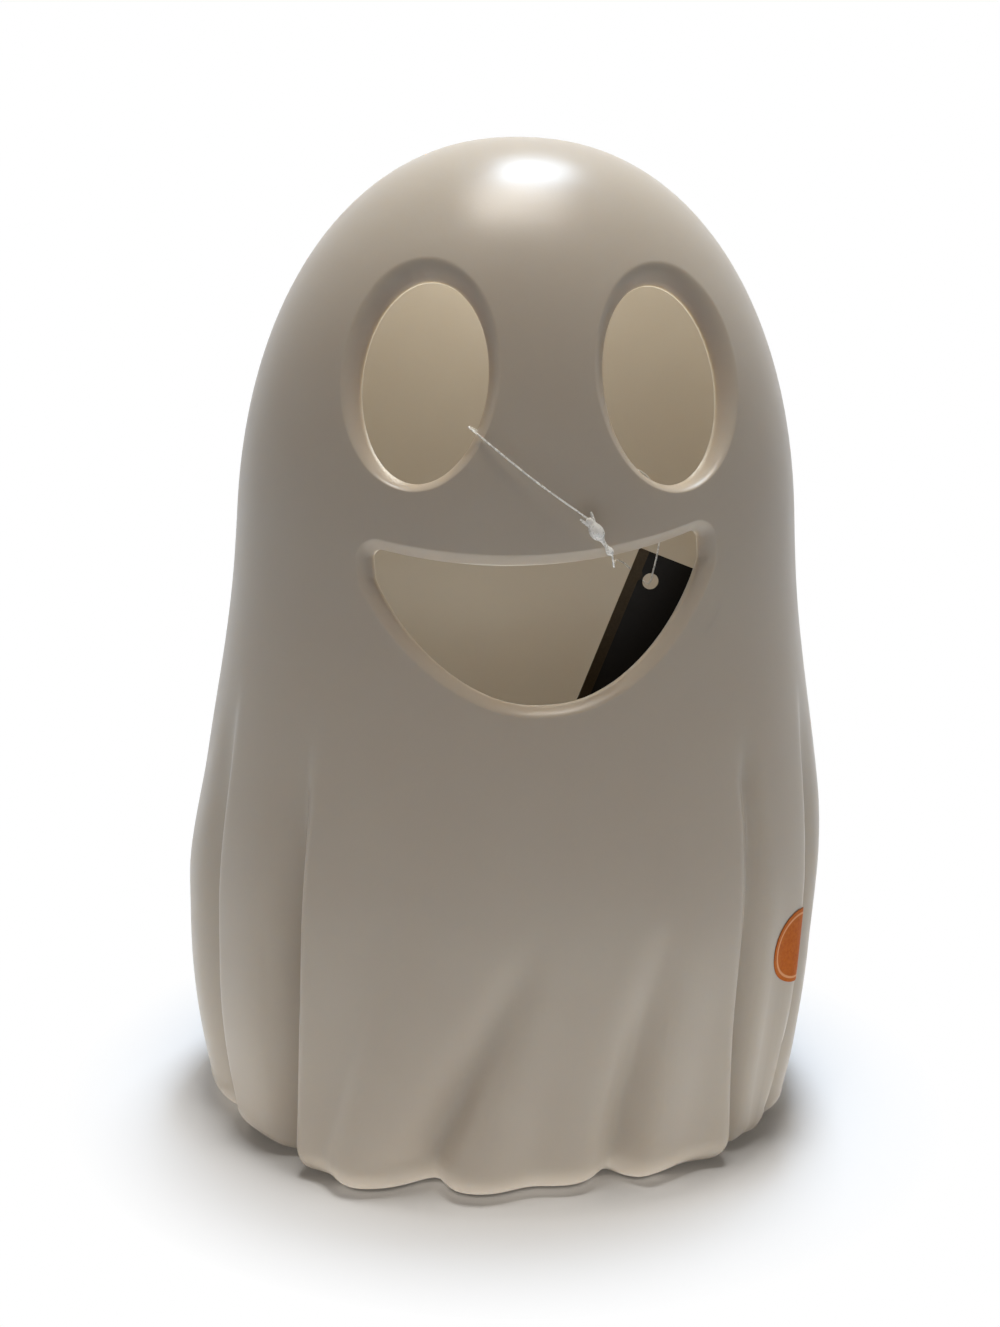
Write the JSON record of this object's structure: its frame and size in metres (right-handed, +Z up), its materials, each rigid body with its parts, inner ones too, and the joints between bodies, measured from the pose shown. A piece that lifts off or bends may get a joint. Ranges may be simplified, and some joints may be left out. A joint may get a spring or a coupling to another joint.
{
  "type": "ghost lantern",
  "caption": "Free-standing hollow moulded ghost lantern with cut-out eyes and smile, a pleated skirt, a twist-in battery light unit in its base and a card tag on a loop.",
  "frame": {"origin": "on the table under the middle of the ghost, in the plane of its foot", "axes": "+Z up, the face looks along -Y, +X is the viewer's right"},
  "size_m": [0.2381, 0.2057, 0.356],
  "materials": {
    "shell": "warm off-white translucent polyethylene, satin with a fine moulded grain",
    "white_plastic": "off-white moulded plastic, satin",
    "screw_steel": "zinc-plated steel",
    "sticker": "glossy orange paper sticker",
    "filament": "clear-white nylon filament",
    "tag_card": "black printed card with a brown edge strip",
    "seal": "dark grey rubber",
    "board": "green circuit board",
    "lamp": "warm white lamp resin",
    "black_plastic": "black moulded plastic",
    "diffuser": "milky translucent plastic",
    "battery": "plain dark wrapped cell with bright ends",
    "contact": "nickel-plated spring steel",
    "wire_red": "red insulation",
    "wire_black": "black insulation"
  },
  "bodies": {
    "ghost": {"ghost_shell": "shell", "socket_collar": "white_plastic", "clamp_ring": "white_plastic", "collar_screws": "screw_steel", "round_sticker": "sticker", "tag_loop": "filament", "tag_lock": "filament"},
    "tag": {"hang_tag": "tag_card"},
    "light_unit": {"unit_housing": "white_plastic", "unit_cover": "white_plastic", "cover_screws": "screw_steel", "seal_ring": "seal", "lamp_board": "board", "lamps": "lamp", "board_screws": "screw_steel", "timer_chip": "black_plastic", "diffuser_dome": "diffuser", "battery_1": "battery", "battery_2": "battery", "battery_3": "battery", "contact_springs": "contact", "contact_plates": "contact", "wire_red": "wire_red", "wire_black": "wire_black", "slide_switch": "black_plastic"},
    "door": {"battery_door": "white_plastic"},
    "knob": {"switch_knob": "black_plastic"}
  },
  "joints": [
    {"name": "light_unit_twist", "type": "hinge", "parent": "ghost", "child": "light_unit", "pos_m": [0, 0, 0.02], "axis": [0, 0, 1], "range_deg": [0, 40]},
    {"name": "battery_door_hinge", "type": "hinge", "parent": "light_unit", "child": "door", "pos_m": [0, 0.02835, 0.0069], "axis": [1, 0, 0], "range_deg": [0, 100]},
    {"name": "mode_switch_slide", "type": "slide", "parent": "light_unit", "child": "knob", "axis": [1, 0, 0], "range_m": [-0.003, 0.003]},
    {"name": "tag_swing", "type": "hinge", "parent": "ghost", "child": "tag", "pos_m": [0.041, -0.058, 0.207], "axis": [0, 1, 0], "range_deg": [-20, 20]}
  ]
}
